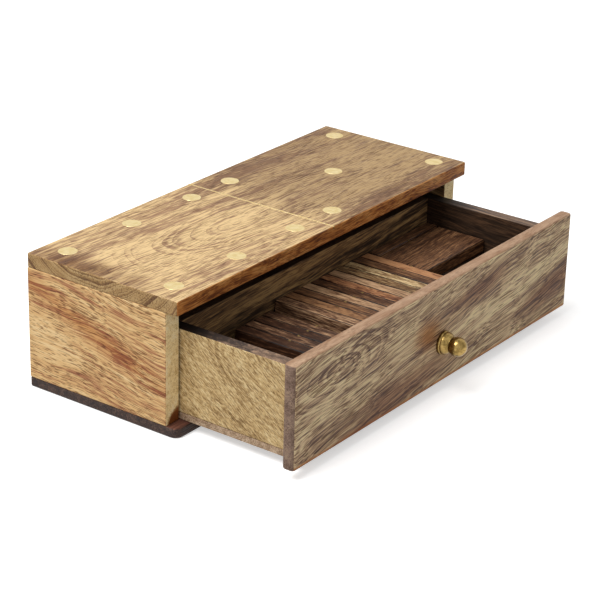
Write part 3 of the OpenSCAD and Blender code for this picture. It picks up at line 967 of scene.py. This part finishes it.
class DOMINOBOX_OT_dominoes(bpy.types.Operator):
    """Make the wooden dominoes, each with its own grain and tone"""

    bl_idname = "domino_box.dominoes"
    bl_label = "Dominoes"

    def execute(self, context):
        sizes = context.scene.domino_box_sizes
        slots = {part["node"]: part["material_slot"] for part in frame["record"]["subparts"]}
        kinds = {}
        for kind in ("dark", "brown", "red", "gold"):
            # Oiled sheesham cut small: streaks a few millimetres wide run the length of each domino
            kinds["domino_wood_" + kind] = wood(
                f"oiled_sheesham_domino_{kind}", f"tile_{kind}", streak=(40, 1.8), fine=(10, 0.6), wander=1.2,
                strength=(1.2, 2.0, 1.6, 0.3), rough=(0.4, 0.6))
        inset = Vector((sizes.inlay_rise,) * 3)
        for k, name in enumerate(domino_nodes()):
            low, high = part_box(name)
            spans = high - low
            longest, middle, thin = sorted(range(3), key=lambda i: -spans[i])
            along, across = ([float(i == axis) for i in range(3)] for axis in (longest, middle))
            mesh = eased_block(low + inset, high - inset, sizes.tile_rim, sizes.tile_rim, axis=thin, turns=3)
            finishes = {"all": kinds[slots[name]]}
            tile = make_piece(name.replace("domino", "tile"), mesh, finishes, "drawer", name)
            lean, cut = TILE_LEANS[k % len(TILE_LEANS)], [k * step for step in TILE_CUT]
            # The eased edges get painted shade, for the shaded gaps between neighbouring dominoes
            lay_grain(tile, along, across, lean=lean, cut=cut, own_tone=TILE_TONES[k], rim_painted_shade=0.9)
        return {"FINISHED"}


class DOMINOBOX_OT_domino_inlay(bpy.types.Operator):
    """Make the brass pips and lines of the dominoes"""

    bl_idname = "domino_box.domino_inlay"
    bl_label = "Domino Inlay"

    def execute(self, context):
        sizes = context.scene.domino_box_sizes
        boxes = [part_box(name) for name in domino_nodes()]
        slack = 0.01 * MM
        centres, facings = [], []
        for low, high in islands("domino_pips"):
            middle, spans = (low + high) / 2, high - low
            thin = min(range(3), key=lambda i: spans[i])
            home = [(a + b) / 2 for a, b in boxes
                    if all(a[i] - slack < middle[i] < b[i] + slack for i in range(3))]
            if len(home) != 1:
                raise RuntimeError(f"a pip at {tuple(middle)} lies in {len(home)} dominoes")
            way = 1 if middle[thin] > home[0][thin] else -1
            facing = [0.0, 0.0, 0.0]
            facing[thin] = way
            middle[thin] = high[thin] if way > 0 else low[thin]
            centres.append(middle)
            facings.append(facing)
        # The small pips are eased less than the lid's
        rim = 0.6 * sizes.inlay_rim
        inputs = {"Disc Diameter": max(spans), "Disc Thickness": min(spans), "Metal": aged_brass(),
                  "Rim Width": rim, "Sides": sizes.tile_pip_sides}
        make_discs("tile_pip_discs", centres, facings, inputs, "drawer", "domino_pips")
        strips = brass_strips(islands("domino_lines"), sizes.line_rim)
        make_piece("tile_line_strips", strips, {"all": aged_brass()}, "drawer", "domino_lines")
        return {"FINISHED"}


def looked_at(tree):
    """1 where the camera, a gloss or a clear surface looks, and 0 where the object gets its light from."""
    path = add_node(tree, "ShaderNodeLightPath").outputs
    seen = path["Is Camera Ray"]
    for ray in ("Is Glossy Ray", "Is Transmission Ray"):
        seen = maths(tree, "MAXIMUM", seen, path[ray])
    return seen


class DOMINOBOX_OT_stage(bpy.types.Operator):
    """Make the floor, the soft studio light and the photograph's camera"""

    bl_idname = "domino_box.stage"
    bl_label = "Floor, Light and Camera"

    def execute(self, context):
        scene = context.scene
        mesh = bmesh.new()
        bmesh.ops.create_circle(mesh, cap_ends=True, segments=96, radius=FLOOR_RADIUS)
        bmesh.ops.translate(mesh, verts=mesh.verts, vec=(0, 0, -FLOOR_DROP))
        data = bpy.data.meshes.new("floor")
        mesh.to_mesh(data)
        mesh.free()
        floor = bpy.data.objects.new("floor", data)
        scene.collection.objects.link(floor)
        # Pale matt paint: the camera and the gloss see it white, and the object gets less light back from it
        material, tree = new_material("pale_matt_floor_paint")
        colour = opaque(scene.domino_box_tones.floor_white)
        paint = add_node(tree, "ShaderNodeBsdfDiffuse", {0: colour}).outputs[0]
        glow = add_node(tree, "ShaderNodeEmission", {0: opaque(WHITE), 1: FLOOR_GLOW}).outputs[0]
        white = add_node(tree, "ShaderNodeAddShader", {0: paint, 1: glow}).outputs[0]
        dull = add_node(tree, "ShaderNodeBsdfDiffuse", {0: opaque(FLOOR_RETURN)}).outputs[0]
        both = add_node(tree, "ShaderNodeMixShader", {0: looked_at(tree), 1: dull, 2: white}).outputs[0]
        add_node(tree, "ShaderNodeOutputMaterial", {0: both})
        data.materials.append(material)

        world = bpy.data.worlds.new("studio")
        world.use_nodes = True
        tree = world.node_tree
        tree.nodes.clear()
        fill = add_node(tree, "ShaderNodeBackground", {0: opaque(WHITE), 1: WORLD_FILL}).outputs[0]
        white = add_node(tree, "ShaderNodeBackground", {0: opaque(WHITE), 1: 1.0}).outputs[0]
        both = add_node(tree, "ShaderNodeMixShader", {0: looked_at(tree), 1: fill, 2: white}).outputs[0]
        add_node(tree, "ShaderNodeOutputWorld", {0: both})
        scene.world = world

        light = bpy.data.lights.new("key_light", "AREA")
        light.shape, light.size, light.energy = "SQUARE", LAMP_SIDE, LAMP_POWER
        lamp = bpy.data.objects.new("key_light", light)
        lamp.location = LAMP_PLACE
        lamp.rotation_euler = (Vector(LAMP_AIM) - Vector(LAMP_PLACE)).to_track_quat("-Z", "Y").to_euler()
        scene.collection.objects.link(lamp)

        yaw, pitch, roll = (math.radians(a) for a in (CAMERA_YAW, CAMERA_PITCH, CAMERA_ROLL))
        ahead = Vector((math.sin(yaw) * math.cos(pitch), math.cos(yaw) * math.cos(pitch), math.sin(pitch)))
        level = Vector((math.cos(yaw), -math.sin(yaw), 0.0))
        above = level.cross(ahead)
        right = math.cos(roll) * level + math.sin(roll) * above
        up = math.cos(roll) * above - math.sin(roll) * level
        lens = bpy.data.cameras.new("photo_camera")
        lens.lens, lens.sensor_width = CAMERA_LENS, CAMERA_SENSOR
        lens.clip_start, lens.clip_end = 0.01, 20.0
        camera = bpy.data.objects.new("photo_camera", lens)
        turn = Matrix((right, up, -ahead)).transposed().to_4x4()
        camera.matrix_world = Matrix.Translation(CAMERA_PLACE) @ turn
        scene.collection.objects.link(camera)
        scene.camera = camera
        scene.view_settings.view_transform = "Standard"
        return {"FINISHED"}


OPERATORS = (DOMINOBOX_OT_lid, DOMINOBOX_OT_lid_inlay, DOMINOBOX_OT_panels, DOMINOBOX_OT_base,
             DOMINOBOX_OT_drawer_walls, DOMINOBOX_OT_drawer_front, DOMINOBOX_OT_knob, DOMINOBOX_OT_dominoes,
             DOMINOBOX_OT_domino_inlay, DOMINOBOX_OT_stage)


class DOMINOBOX_PT_panel(bpy.types.Panel):
    """The box's steps, sizes and colours"""

    bl_idname = "DOMINOBOX_PT_panel"
    bl_label = "Domino Storage Box"
    bl_space_type = "VIEW_3D"
    bl_region_type = "UI"
    bl_category = "Domino Box"

    def draw(self, context):
        layout = self.layout
        steps = layout.column(align=True)
        for operator in OPERATORS:
            steps.operator(operator.bl_idname)
        for group in (context.scene.domino_box_sizes, context.scene.domino_box_tones):
            column = layout.column(align=True)
            for key in group.__annotations__:
                column.prop(group, key)


CLASSES = (DominoBoxSizes, DominoBoxTones, *OPERATORS, DOMINOBOX_PT_panel)


def register():
    """Adds the steps and the panel, and hangs the sizes and colours on the scene."""
    for cls in CLASSES:
        bpy.utils.register_class(cls)
    bpy.types.Scene.domino_box_sizes = PointerProperty(type=DominoBoxSizes)
    bpy.types.Scene.domino_box_tones = PointerProperty(type=DominoBoxTones)


def unregister():
    """Takes away what register adds."""
    del bpy.types.Scene.domino_box_tones
    del bpy.types.Scene.domino_box_sizes
    for cls in reversed(CLASSES):
        bpy.utils.unregister_class(cls)


def main():
    """Makes the whole box, step by step."""
    register()
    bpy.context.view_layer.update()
    bpy.ops.domino_box.lid()
    bpy.ops.domino_box.lid_inlay()
    bpy.ops.domino_box.panels()
    bpy.ops.domino_box.base()
    bpy.ops.domino_box.drawer_walls()
    bpy.ops.domino_box.drawer_front()
    bpy.ops.domino_box.knob()
    bpy.ops.domino_box.dominoes()
    bpy.ops.domino_box.domino_inlay()
    bpy.ops.domino_box.stage()


if __name__ == "__main__":
    main()
